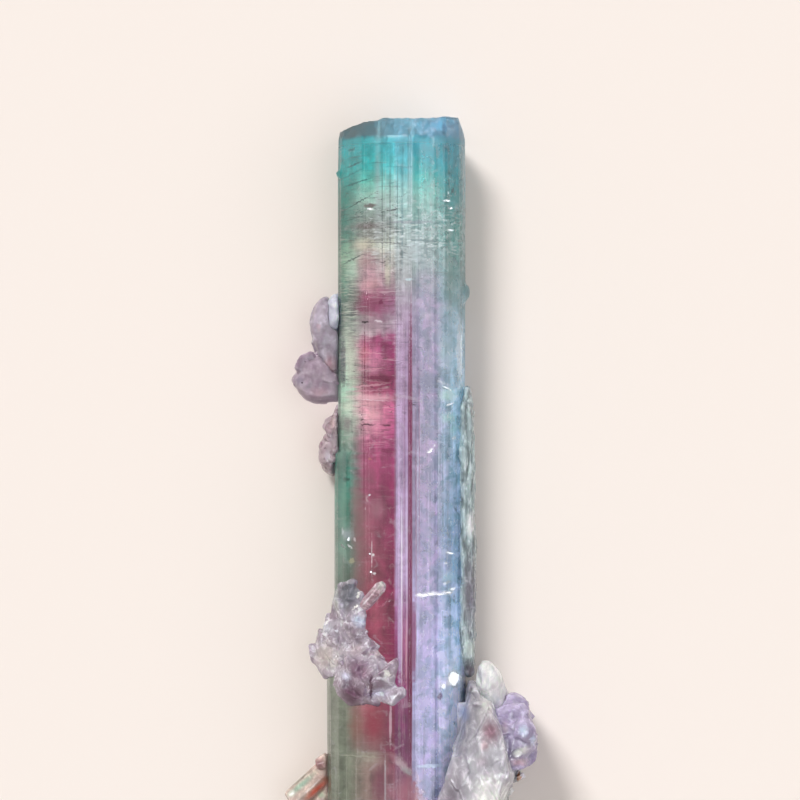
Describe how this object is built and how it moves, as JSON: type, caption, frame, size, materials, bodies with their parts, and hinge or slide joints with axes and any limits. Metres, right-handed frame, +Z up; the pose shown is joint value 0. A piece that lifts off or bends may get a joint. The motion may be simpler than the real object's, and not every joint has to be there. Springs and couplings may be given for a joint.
{
  "type": "watermelon tourmaline crystal",
  "caption": "Long three-sided tourmaline crystal, green-rimmed with a pink core and a teal tip, lying on its back with lilac mica, white albite and small crystals grown on it.",
  "frame": {"origin": "centre of the whole specimen's box from above, at the height of the surface that it lies on", "axes": "+Y along the crystal from its broken base to its flat tip, +X to the right seen from above with the tip up, +Z up from the flat back face it lies on to the ridge"},
  "size_m": [0.0298, 0.0948, 0.0135],
  "materials": {
    "tourmaline": "gemmy, striated along its length, pink inside a green rim, teal at the tip",
    "tourmaline_pale": "clear, pale mint to red-orange, striated",
    "lepidolite": "translucent lilac mica, flaky, with pearly glints",
    "mica_pale": "pale silvery mica, pitted",
    "albite": "white to grey, translucent and rough",
    "quartz": "clear to milky white"
  },
  "bodies": {
    "root": {"tourmaline_prism": "tourmaline", "small_tourmalines": "tourmaline_pale", "lepidolite_blade": "lepidolite", "lepidolite_lobe": "lepidolite", "lepidolite_flakes": "lepidolite", "lepidolite_front": "lepidolite", "lepidolite_right": "lepidolite", "pale_mica_blade": "mica_pale", "mica_crust": "mica_pale", "albite_mass": "albite", "clear_crystal": "quartz", "quartz_crystal": "quartz"}
  },
  "joints": []
}
